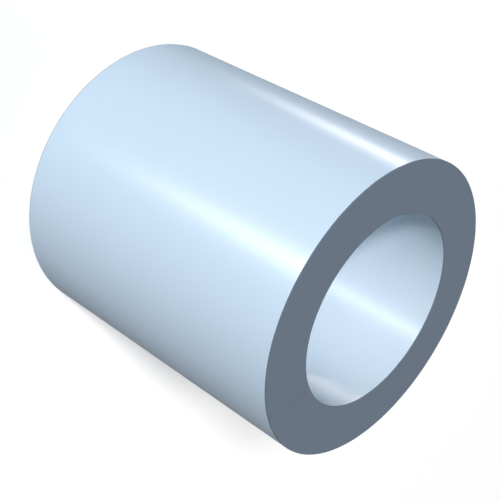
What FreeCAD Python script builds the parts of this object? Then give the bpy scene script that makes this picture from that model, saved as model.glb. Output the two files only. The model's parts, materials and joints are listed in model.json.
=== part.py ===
import FreeCAD, Part
import math
import os

import Sketcher

# Plain spacer sleeve for an M10 screw: one thick-walled tube, turned from bar and bored right
# through. Its two ends are faced square, and all four rims are just broken, so that they look
# sharp but neither cut nor catch. It stands on its lower end: the origin is the centre of that
# end, and +Z runs up the bore. Sizes are in millimetres.

# The driving dimensions: each is one cell of the sheet, and the wall's section is bound to them.
SIZES = {
    "outer_diameter": 16.0,
    "bore_diameter": 10.5,
    "sleeve_length": 17.5,
    "outer_rim_radius": 0.05,
    "bore_rim_radius": 0.05,
}

OUTPUT_FOLDER = "parts"

# How a sketch names the two ends of a line or arc, its horizontal axis and its origin.
START, END = 1, 2
HORIZONTAL_AXIS, ORIGIN_POINT = -1, 1


def add_sheet(doc, sizes):
    """Puts each driving dimension in its own cell, under its own alias."""
    sheet = doc.addObject("Spreadsheet::Sheet", "sizes")
    for row, (alias, value) in enumerate(sizes.items(), start=1):
        sheet.set(f"A{row}", alias)
        sheet.set(f"B{row}", str(value))
        sheet.setAlias(f"B{row}", alias)
    doc.recompute()
    return sheet


def straight_side(start, end):
    """One straight side of the wall's section."""
    return Part.LineSegment(FreeCAD.Vector(*start, 0), FreeCAD.Vector(*end, 0))


def rim_arc(centre, radius, start_degrees):
    """The quarter circle that rounds one rim, drawn anticlockwise from that angle."""
    circle = Part.Circle(FreeCAD.Vector(*centre, 0), FreeCAD.Vector(0, 0, 1), radius)
    start = math.radians(start_degrees)
    return Part.ArcOfCircle(circle, start, start + math.pi / 2)


def draw_section(sketch, sheet):
    """Draws the wall cut through the bore's axis: four straight sides, joined by four rims.

    The outline runs anticlockwise from the lower end, with x out from the axis and y up.
    """
    inner, bore_rim = sheet.bore_diameter / 2, sheet.bore_rim_radius
    outer, outer_rim = sheet.outer_diameter / 2, sheet.outer_rim_radius
    top = sheet.sleeve_length
    outline = {
        "lower_end": straight_side((inner + bore_rim, 0), (outer - outer_rim, 0)),
        "lower_outer_rim": rim_arc((outer - outer_rim, outer_rim), outer_rim, -90),
        "barrel": straight_side((outer, outer_rim), (outer, top - outer_rim)),
        "upper_outer_rim": rim_arc((outer - outer_rim, top - outer_rim), outer_rim, 0),
        "upper_end": straight_side((outer - outer_rim, top), (inner + bore_rim, top)),
        "upper_bore_rim": rim_arc((inner + bore_rim, top - bore_rim), bore_rim, 90),
        "bore": straight_side((inner, top - bore_rim), (inner, bore_rim)),
        "lower_bore_rim": rim_arc((inner + bore_rim, bore_rim), bore_rim, 180),
    }
    return {name: sketch.addGeometry(curve, False) for name, curve in outline.items()}


def join_section(sketch, sides):
    """Keeps the sides straight and square, each rim tangent to both its sides, and like rims alike."""
    order = list(sides.values())
    for side, following in zip(order, order[1:] + order[:1]):
        sketch.addConstraint(Sketcher.Constraint("Tangent", side, END, following, START))
    for name in ("lower_end", "upper_end"):
        sketch.addConstraint(Sketcher.Constraint("Horizontal", sides[name]))
    for name in ("barrel", "bore"):
        sketch.addConstraint(Sketcher.Constraint("Vertical", sides[name]))
    for rim in ("outer_rim", "bore_rim"):
        lower, upper = sides[f"lower_{rim}"], sides[f"upper_{rim}"]
        sketch.addConstraint(Sketcher.Constraint("Equal", lower, upper))
    sketch.addConstraint(
        Sketcher.Constraint("PointOnObject", sides["lower_end"], START, HORIZONTAL_AXIS)
    )


def dimension(sketch, name, expression, *measured):
    """Adds a named dimension to the sketch, which takes its value from the sheet."""
    value = float(sketch.evalExpression(expression))
    index = sketch.addConstraint(Sketcher.Constraint(*measured, value))
    sketch.renameConstraint(index, name)
    sketch.setExpression(f"Constraints.{name}", expression)


def size_section(sketch, sides):
    """Gives the section its five sizes."""
    across = ("DistanceX", HORIZONTAL_AXIS, ORIGIN_POINT)
    up = ("DistanceY", HORIZONTAL_AXIS, ORIGIN_POINT)
    dimension(sketch, "barrel_radius", "sizes.outer_diameter / 2", *across, sides["barrel"], END)
    dimension(sketch, "bore_radius", "sizes.bore_diameter / 2", *across, sides["bore"], END)
    dimension(sketch, "height", "sizes.sleeve_length", *up, sides["upper_end"], END)
    dimension(
        sketch, "outer_rounding", "sizes.outer_rim_radius", "Radius", sides["lower_outer_rim"]
    )
    dimension(
        sketch, "bore_rounding", "sizes.bore_rim_radius", "Radius", sides["lower_bore_rim"]
    )


def build_sleeve(doc, sheet):
    """The whole sleeve: the wall's section, turned one full round about the bore's axis."""
    body = doc.addObject("PartDesign::Body", "sleeve")
    body.Label = "sleeve"

    section = body.newObject("Sketcher::SketchObject", "wall_section")
    upright_plane = next(f for f in body.Origin.OriginFeatures if f.Role == "XZ_Plane")
    section.AttachmentSupport = [(upright_plane, "")]
    section.MapMode = "FlatFace"
    sides = draw_section(section, sheet)
    join_section(section, sides)
    size_section(section, sides)

    wall = body.newObject("PartDesign::Revolution", "turned_wall")
    wall.Profile = section
    wall.ReferenceAxis = (section, ["V_Axis"])
    wall.Angle = 360.0
    doc.recompute()
    return body


def check_document(doc, bodies):
    """Stops before anything is written if an object failed or a body isn't one sound solid."""
    for item in doc.Objects:
        if "Invalid" in item.State or "Error" in item.State:
            raise RuntimeError(f"{item.Label} failed: {item.State}")
    for body in bodies:
        shape = body.Shape
        if shape.isNull() or not shape.isValid() or len(shape.Solids) != 1:
            raise RuntimeError(f"{body.Label} isn't one valid solid")


def write_parts(bodies):
    """Writes each body to a STEP file named after its label."""
    os.makedirs(OUTPUT_FOLDER, exist_ok=True)
    for body in bodies:
        path = os.path.join(OUTPUT_FOLDER, f"{body.Label}.step")
        body.Shape.exportStep(path)
        box = body.Shape.optimalBoundingBox()
        print(f"{path}: {box.XLength:.3f} x {box.YLength:.3f} x {box.ZLength:.3f} mm")


document = FreeCAD.newDocument("spacer_sleeve")
size_sheet = add_sheet(document, SIZES)
sleeve = build_sleeve(document, size_sheet)
check_document(document, [sleeve])
write_parts([sleeve])
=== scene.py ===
import json
import math

import bpy
import numpy as np
from mathutils import Matrix, Vector


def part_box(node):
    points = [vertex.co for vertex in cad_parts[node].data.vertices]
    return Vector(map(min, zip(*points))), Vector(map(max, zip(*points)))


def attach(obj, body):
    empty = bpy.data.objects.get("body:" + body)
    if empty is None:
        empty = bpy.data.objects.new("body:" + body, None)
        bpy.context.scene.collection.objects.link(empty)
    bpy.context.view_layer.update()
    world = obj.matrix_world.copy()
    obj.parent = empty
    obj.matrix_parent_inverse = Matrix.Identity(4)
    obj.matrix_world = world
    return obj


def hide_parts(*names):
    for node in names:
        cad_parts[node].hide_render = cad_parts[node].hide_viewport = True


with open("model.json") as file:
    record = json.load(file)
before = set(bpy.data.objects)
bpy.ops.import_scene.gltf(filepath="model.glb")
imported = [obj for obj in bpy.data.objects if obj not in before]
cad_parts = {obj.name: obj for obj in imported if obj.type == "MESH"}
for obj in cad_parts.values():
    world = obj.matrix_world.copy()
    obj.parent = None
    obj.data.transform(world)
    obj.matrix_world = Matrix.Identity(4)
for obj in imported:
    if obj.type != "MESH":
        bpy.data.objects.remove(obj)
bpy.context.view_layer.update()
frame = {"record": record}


# The sleeve is one thick ring of free-cutting steel: turned outside, bored through, faced square at both
# ends and just broken at the corners. It is bright zinc plated and passivated a pale blue, which leaves
# the turned barrel satin and the bore a little duller. The bore's colour is also darker and greyer, as
# painted shade, and the faced ends are coloured a dark slate, which is painted shade too.

MM = 0.001
sleeve_low, sleeve_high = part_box("sleeve")
bore_mount = next(mount for mount in frame["record"]["mounts"] if mount["name"] == "bore")
sleeve_length = sleeve_high.z - sleeve_low.z
barrel_radius = (sleeve_high.y - sleeve_low.y) / 2
bore_radius = bore_mount["dims"]["r_mm"] * MM
rim_radius = (sleeve_length - bore_mount["dims"]["length_mm"] * MM) / 2

ROUND_STEPS = 240
RIM_POINTS = 7
SIDE_POINTS = 24
END_POINTS = 4
SEAM_ANGLE = math.radians(150)
TURNED, BORED, FACED = range(3)


def wall_outline():
    """The closed outline of the wall in the plane through the axis, as distance from the axis, height and
    the angle of the outward normal. It goes up the barrel and down the bore: each corner is a quarter
    circle of the rim radius, and each side runs straight from one quarter circle to the next."""
    inset = np.array([
        (barrel_radius - rim_radius, rim_radius),
        (barrel_radius - rim_radius, sleeve_length - rim_radius),
        (bore_radius + rim_radius, sleeve_length - rim_radius),
        (bore_radius + rim_radius, rim_radius),
    ])
    first_turn = np.radians([-90, 0, 90, 180])
    turn = first_turn[:, None] + np.linspace(0, math.pi / 2, RIM_POINTS)
    corner = np.stack([
        inset[:, :1] + rim_radius * np.cos(turn),
        inset[:, 1:] + rim_radius * np.sin(turn),
        turn,
    ], axis=2)
    stretches = []
    for index, points in enumerate((SIDE_POINTS, END_POINTS, SIDE_POINTS, END_POINTS)):
        start = corner[index, -1]
        stop = corner[(index + 1) % 4, 0]
        share = np.linspace(0, 1, points + 2)[1:-1, None]
        side = start + (stop - start) * share
        side[:, 2] = start[2]
        stretches += [corner[index], side]
    return np.concatenate(stretches)


def revolve(outline):
    """Carries the outline round the axis: for every angle a, a point at distance r and height z goes to
    (r cos a, r sin a, z), and its normal at slope t to (cos t cos a, cos t sin a, sin t). Returns the
    points, the normals, each face's four corners in outward order, and their places on a flat map."""
    rows = len(outline)
    angle = SEAM_ANGLE + 2 * math.pi * np.arange(ROUND_STEPS) / ROUND_STEPS
    around = np.stack([np.cos(angle), np.sin(angle)], axis=1)
    distance, height, slope = outline.T

    def ring(outward, upward):
        flat = outward[:, None, None] * around
        lift = np.broadcast_to(upward[:, None, None], (rows, ROUND_STEPS, 1))
        return np.concatenate([flat, lift], axis=2).reshape(-1, 3)

    row, step = np.meshgrid(np.arange(rows), np.arange(ROUND_STEPS), indexing="ij")
    corner_row = np.stack([row, row, row + 1, row + 1], axis=2).reshape(-1, 4)
    corner_step = np.stack([step, step + 1, step + 1, step], axis=2).reshape(-1, 4)
    faces = corner_row % rows * ROUND_STEPS + corner_step % ROUND_STEPS

    closed = np.concatenate([outline, outline[:1]])
    travel = np.concatenate([[0], np.cumsum(np.hypot(*np.diff(closed[:, :2], axis=0).T))])
    flat_map = np.stack([corner_step / ROUND_STEPS, travel[corner_row] / travel[-1]], axis=2)
    return ring(distance, height), ring(np.cos(slope), np.sin(slope)), faces, flat_map


def turned_mesh(name):
    """The revolved wall as a smooth mesh, with its exact normals, its flat map and the three materials:
    faced on the ends and their rims, coloured dark slate as painted shade, bored inside, coloured a
    little darker and greyer as painted shade, and turned outside."""
    points, normals, faces, flat_map = revolve(wall_outline())
    mesh = bpy.data.meshes.new(name)
    mesh.from_pydata(points, [], faces.tolist())
    mesh.polygons.foreach_set("use_smooth", np.ones(len(faces), dtype=bool))
    middle = points[faces].mean(axis=1)
    on_an_end = abs(middle[:, 2] - sleeve_length / 2) > sleeve_length / 2 - rim_radius
    in_the_bore = np.hypot(middle[:, 0], middle[:, 1]) < (bore_radius + barrel_radius) / 2
    material = np.select([on_an_end, in_the_bore], [FACED, BORED], default=TURNED)
    mesh.polygons.foreach_set("material_index", material.astype(np.int32))
    mesh.uv_layers.new(name="OFBake").data.foreach_set("uv", flat_map.ravel())
    mesh.normals_split_custom_set_from_vertices(normals)
    mesh.update()
    return mesh


def add_node(tree, kind, inputs=None, **settings):
    """Adds a node with its settings. An input given as a socket is linked, and any other is a value."""
    node = tree.nodes.new(kind)
    for name, value in settings.items():
        setattr(node, name, value)
    for name, value in (inputs or {}).items():
        if isinstance(value, bpy.types.NodeSocket):
            tree.links.new(value, node.inputs[name])
        else:
            node.inputs[name].default_value = value
    return node


def lathe_marks():
    """Shader group for steel cut on a lathe. Marks: noise read at a point that goes slowly round the axis,
    on a circle of radius Wander, and quickly Across the marks, one unit for each Spacing. Mottle: soft
    noise at the Position itself, in patches of Patch Size. Both are 0 to 1, and lengths are in metres."""
    group = bpy.data.node_groups.new("lathe marks", "ShaderNodeTree")
    group.interface.new_socket("Position", in_out="INPUT", socket_type="NodeSocketVector")
    for name in ("Across", "Spacing", "Wander", "Patch Size"):
        group.interface.new_socket(name, in_out="INPUT", socket_type="NodeSocketFloat")
    for name in ("Marks", "Mottle"):
        group.interface.new_socket(name, in_out="OUTPUT", socket_type="NodeSocketFloat")
    given = group.nodes.new("NodeGroupInput").outputs

    flat = add_node(group, "ShaderNodeVectorMath", {0: given["Position"], 1: (1, 1, 0)},
                    operation="MULTIPLY")
    unit = add_node(group, "ShaderNodeVectorMath", {0: flat.outputs[0]}, operation="NORMALIZE")
    circle = add_node(group, "ShaderNodeVectorMath", {0: unit.outputs[0], "Scale": given["Wander"]},
                      operation="SCALE")
    count = add_node(group, "ShaderNodeMath", {0: given["Across"], 1: given["Spacing"]},
                     operation="DIVIDE")
    rise = add_node(group, "ShaderNodeCombineXYZ", {"Z": count.outputs[0]})
    place = add_node(group, "ShaderNodeVectorMath", {0: circle.outputs[0], 1: rise.outputs[0]},
                     operation="ADD")
    marks = add_node(group, "ShaderNodeTexNoise",
                     {"Vector": place.outputs[0], "Scale": 1.0, "Detail": 3.0, "Roughness": 0.6})
    patches = add_node(group, "ShaderNodeMath", {0: 1.0, 1: given["Patch Size"]}, operation="DIVIDE")
    mottle = add_node(group, "ShaderNodeTexNoise",
                      {"Vector": given["Position"], "Scale": patches.outputs[0], "Detail": 2.0})
    add_node(group, "NodeGroupOutput", {"Marks": marks.outputs["Fac"], "Mottle": mottle.outputs["Fac"]})
    return group


def grey(value):
    """An even grey, as a colour socket takes it."""
    return (value, value, value, 1)


# A Mix node has its own pair of inputs for plain values and for colours, all called A and B.
VALUE_A, VALUE_B = 2, 3
COLOUR_A, COLOUR_B, MIXED_COLOUR = 6, 7, 2


def lathe_finish(name, across, finish, shine):
    """A plated surface with lathe marks, which lie across the height on a turned wall, and across the
    radius on a faced end. The colour goes from Dark to Light with the mottling and the marks, and the
    roughness from Smooth to Rough with the marks, which also raise the surface by Depth. Shine holds the
    shader's own values, the same all over."""
    material = bpy.data.materials.new(name)
    material.use_nodes = True
    tree = material.node_tree
    shader = tree.nodes["Principled BSDF"]
    for socket, value in shine.items():
        shader.inputs[socket].default_value = value
    place = add_node(tree, "ShaderNodeTexCoord").outputs["Object"]
    split = add_node(tree, "ShaderNodeSeparateXYZ", {0: place})
    flat = add_node(tree, "ShaderNodeCombineXYZ", {"X": split.outputs["X"], "Y": split.outputs["Y"]})
    outward = add_node(tree, "ShaderNodeVectorMath", {0: flat.outputs[0]}, operation="LENGTH")
    distance = {"height": split.outputs["Z"], "radius": outward.outputs["Value"]}[across]
    marks = add_node(tree, "ShaderNodeGroup", node_tree=lathe_marks_group)
    tree.links.new(place, marks.inputs["Position"])
    tree.links.new(distance, marks.inputs["Across"])
    for socket in ("Spacing", "Wander", "Patch Size"):
        marks.inputs[socket].default_value = finish[socket]

    blend = add_node(tree, "ShaderNodeMix", {
        "Factor": finish["Mark Share"],
        VALUE_A: marks.outputs["Mottle"],
        VALUE_B: marks.outputs["Marks"],
    }, data_type="FLOAT")
    colour = add_node(tree, "ShaderNodeMix", {
        "Factor": blend.outputs[0],
        COLOUR_A: (*finish["Dark"], 1),
        COLOUR_B: (*finish["Light"], 1),
    }, data_type="RGBA")
    tree.links.new(colour.outputs[MIXED_COLOUR], shader.inputs["Base Color"])
    rough = add_node(tree, "ShaderNodeMapRange", {
        "Value": marks.outputs["Marks"],
        "To Min": finish["Smooth"],
        "To Max": finish["Rough"],
    })
    tree.links.new(rough.outputs[0], shader.inputs["Roughness"])
    bump = add_node(tree, "ShaderNodeBump",
                    {"Height": marks.outputs["Marks"], "Distance": finish["Depth"], "Strength": 1.0})
    tree.links.new(bump.outputs[0], shader.inputs["Normal"])
    return material


lathe_marks_group = lathe_marks()

# On the walls the light is drawn out along the axis, so each lamp makes a long streak.
WALL_SHINE = {"Anisotropic": 1.0, "Anisotropic Rotation": 0.25}
WALL_MARKS = {"Spacing": 0.14 * MM, "Wander": 1.2, "Patch Size": 4 * MM, "Mark Share": 0.4}
END_MARKS = {"Spacing": 0.12 * MM, "Wander": 1.2, "Patch Size": 3 * MM, "Mark Share": 0.4}
MARK_DEPTH = 0.0004 * MM

turned_plate = lathe_finish("turned plated steel", "height", WALL_MARKS | {
    "Dark": (0.583, 0.734, 0.890), "Light": (0.607, 0.765, 0.928),
    "Smooth": 0.475, "Rough": 0.535, "Depth": MARK_DEPTH,
}, WALL_SHINE | {"Metallic": 0.14, "Specular Tint": grey(0.3)})

# The bore is coloured darker and greyer than the barrel. This is painted shade inside the bore, added to
# its real duller, rougher finish.
bored_wall_painted_shade = lathe_finish("bored plated steel, painted shade", "height", WALL_MARKS | {
    "Dark": (0.536, 0.642, 0.743), "Light": (0.558, 0.668, 0.773),
    "Smooth": 0.54, "Rough": 0.6, "Depth": MARK_DEPTH,
}, WALL_SHINE | {"Metallic": 0.09, "Specular Tint": grey(0.05)})

# The ends are coloured a dark slate that is painted shade: the same plating as the barrel, with shade put
# into its colour. Only their dull, weak gloss is a real finish.
faced_end_painted_shade = lathe_finish("faced plated steel, painted shade", "radius", END_MARKS | {
    "Dark": (0.099, 0.1235, 0.1595), "Light": (0.1095, 0.138, 0.177),
    "Smooth": 0.7, "Rough": 0.78, "Depth": MARK_DEPTH,
}, {"Specular IOR Level": 0.02})

for plate in (turned_plate, bored_wall_painted_shade):
    plate_tree = plate.node_tree
    round_the_axis = add_node(plate_tree, "ShaderNodeTangent", direction_type="RADIAL", axis="Z")
    plate_shader = plate_tree.nodes["Principled BSDF"]
    plate_tree.links.new(round_the_axis.outputs[0], plate_shader.inputs["Tangent"])

sleeve = bpy.data.objects.new("spacer_sleeve", turned_mesh("spacer_sleeve"))
bpy.context.collection.objects.link(sleeve)
for plate in (turned_plate, bored_wall_painted_shade, faced_end_painted_shade):
    sleeve.data.materials.append(plate)
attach(sleeve, "root")
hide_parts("sleeve")


# The floor is a sheet of white card. The lamps light it, the sleeve shades it, and a weak glow of its own
# brings what the camera and reflections see up to white. Away from the sleeve it is seen as plain white,
# and it bounces hardly any light back.

FLOOR_REACH = 2.0
FLOOR_SEEN = 0.66
FLOOR_BOUNCE = 0.04
FLOOR_GLOW = 0.2
FLOOR_NEAR = 30 * MM
FLOOR_FAR = 150 * MM


def seen_directly(tree):
    """One for a camera, glossy or transmission ray that meets the surface, and zero for a diffuse one."""
    path = add_node(tree, "ShaderNodeLightPath")
    seen = path.outputs["Is Camera Ray"]
    for ray in ("Is Glossy Ray", "Is Transmission Ray"):
        either = add_node(tree, "ShaderNodeMath", {0: seen, 1: path.outputs[ray]}, operation="MAXIMUM")
        seen = either.outputs[0]
    return seen


floor_card = bpy.data.materials.new("white card")
floor_card.use_nodes = True
floor_tree = floor_card.node_tree
floor_tree.nodes.clear()
floor_bounce = add_node(floor_tree, "ShaderNodeBsdfDiffuse", {"Color": grey(FLOOR_BOUNCE)})
floor_seen = add_node(floor_tree, "ShaderNodeBsdfDiffuse", {"Color": grey(FLOOR_SEEN)})
floor_glow = add_node(floor_tree, "ShaderNodeEmission", {"Color": grey(1), "Strength": FLOOR_GLOW})
floor_white = add_node(floor_tree, "ShaderNodeAddShader",
                       {0: floor_seen.outputs[0], 1: floor_glow.outputs[0]})
floor_plain = add_node(floor_tree, "ShaderNodeEmission", {"Color": grey(1), "Strength": 1.0})
floor_place = add_node(floor_tree, "ShaderNodeTexCoord").outputs["Object"]
floor_distance = add_node(floor_tree, "ShaderNodeVectorMath", {0: floor_place}, operation="LENGTH")
floor_fade = add_node(floor_tree, "ShaderNodeMapRange", {
    "Value": floor_distance.outputs["Value"],
    "From Min": FLOOR_NEAR,
    "From Max": FLOOR_FAR,
})
floor_even = add_node(floor_tree, "ShaderNodeMixShader",
                      {0: floor_fade.outputs[0], 1: floor_white.outputs[0], 2: floor_plain.outputs[0]})
floor_mix = add_node(floor_tree, "ShaderNodeMixShader",
                     {0: seen_directly(floor_tree), 1: floor_bounce.outputs[0], 2: floor_even.outputs[0]})
add_node(floor_tree, "ShaderNodeOutputMaterial", {"Surface": floor_mix.outputs[0]})

across, along = np.meshgrid([-FLOOR_REACH, FLOOR_REACH], [-FLOOR_REACH, FLOOR_REACH])
floor_points = np.stack([across, along, np.zeros((2, 2))], axis=2).reshape(-1, 3)
floor_mesh = bpy.data.meshes.new("floor")
floor_mesh.from_pydata(floor_points, [], [(0, 1, 3, 2)])
floor_mesh.materials.append(floor_card)
floor = bpy.data.objects.new("floor", floor_mesh)
bpy.context.collection.objects.link(floor)


# The room round the sleeve is plain: white where the camera or the steel's gloss looks at it, and only a
# weak even light on dull surfaces, so that the lamps shape them.

ROOM_LIGHT = 0.005

room = bpy.data.worlds.new("room")
bpy.context.scene.world = room
room.use_nodes = True
room_tree = room.node_tree
room_tree.nodes.clear()
room_dim = add_node(room_tree, "ShaderNodeBackground", {"Color": grey(1), "Strength": ROOM_LIGHT})
room_white = add_node(room_tree, "ShaderNodeBackground", {"Color": grey(1), "Strength": 1.0})
room_mix = add_node(room_tree, "ShaderNodeMixShader",
                    {0: seen_directly(room_tree), 1: room_dim.outputs[0], 2: room_white.outputs[0]})
add_node(room_tree, "ShaderNodeOutputWorld", {"Surface": room_mix.outputs[0]})


# The lamps are a soft key and a higher, wider one in front and to the right, a wide fill and a low lamp
# behind and to the left, and three small narrow beams, which draw the long bright streaks down the
# barrel and the bore and light nothing else.

LAMP_DISTANCE = 1.0
STREAK_DISTANCE = 0.25
sleeve_middle = Vector((0, 0, sleeve_length / 2))


def stand(thing, azimuth, elevation, distance, target, roll=0.0):
    """Stands a lamp or the camera at a distance from the target and turns it to look there. Azimuth 0 is
    the front, at -Y, and 90 the right, at +X; roll turns it anticlockwise about its own line of sight.
    The angles are in degrees."""
    swing = Matrix.Rotation(math.radians(azimuth), 4, "Z")
    tilt = Matrix.Rotation(math.radians(90 - elevation), 4, "X")
    spin = Matrix.Rotation(math.radians(roll), 4, "Z")
    back = Matrix.Translation((0, 0, distance))
    thing.matrix_world = Matrix.Translation(target) @ swing @ tilt @ spin @ back


def soft_lamp(name, azimuth, elevation, side, power):
    """A square lamp of that side, aimed at the sleeve's middle. It isn't seen itself, nor in the gloss."""
    light = bpy.data.lights.new(name, "AREA")
    light.size = side
    light.energy = power
    lamp = bpy.data.objects.new(name, light)
    bpy.context.collection.objects.link(lamp)
    stand(lamp, azimuth, elevation, LAMP_DISTANCE, sleeve_middle)
    lamp.visible_camera = False
    lamp.visible_glossy = False


def streak_lamp(name, azimuth, elevation, aim, cone, bulb, tint, power):
    """A small bulb with a narrow soft-edged beam, seen only in the gloss. It is aimed at a point in
    millimetres, and its cone is the beam's full angle in degrees."""
    light = bpy.data.lights.new(name, "SPOT")
    light.spot_size = math.radians(cone)
    light.spot_blend = 1.0
    light.shadow_soft_size = bulb
    light.color = tint
    light.energy = power
    lamp = bpy.data.objects.new(name, light)
    bpy.context.collection.objects.link(lamp)
    stand(lamp, azimuth, elevation, STREAK_DISTANCE, Vector(aim) * MM)
    lamp.visible_camera = False
    lamp.visible_diffuse = False


soft_lamp("key", azimuth=33.9, elevation=34.4, side=0.11, power=8.3)
soft_lamp("high key", azimuth=36.6, elevation=54, side=0.25, power=6.8)
soft_lamp("fill", azimuth=227, elevation=51, side=0.7, power=3.2)
soft_lamp("back", azimuth=217, elevation=6, side=0.12, power=5.0)
streak_lamp("front streak", azimuth=44.6, elevation=31.1, aim=(0, 0, 18.6), cone=5.75,
            bulb=10.5 * MM, tint=(1.0, 0.9, 0.8), power=5.8)
streak_lamp("left streak", azimuth=303.9, elevation=1.0, aim=(0, 0, 17.6), cone=4.6,
            bulb=7.2 * MM, tint=(1.0, 0.78, 0.68), power=3.8)
streak_lamp("bore streak", azimuth=274, elevation=39, aim=(1.80, 4.93, 15.8), cone=1.2,
            bulb=1.5 * MM, tint=(1.0, 0.68, 0.54), power=2.4)


# The camera looks down into the open end from the front right, and is rolled so that the sleeve lies
# across the picture as it does in the photo.

SENSOR_WIDTH = 36
LENS_LENGTH = 81.65

lens = bpy.data.cameras.new("camera")
lens.sensor_width = SENSOR_WIDTH
lens.lens = LENS_LENGTH
lens.clip_start = MM
camera = bpy.data.objects.new("camera", lens)
bpy.context.collection.objects.link(camera)
stand(camera, azimuth=44.8, elevation=34.69, distance=60.96 * MM, target=Vector((0, 0.735, 8.668)) * MM,
      roll=119.86)
bpy.context.scene.camera = camera
bpy.context.scene.view_settings.view_transform = "Standard"
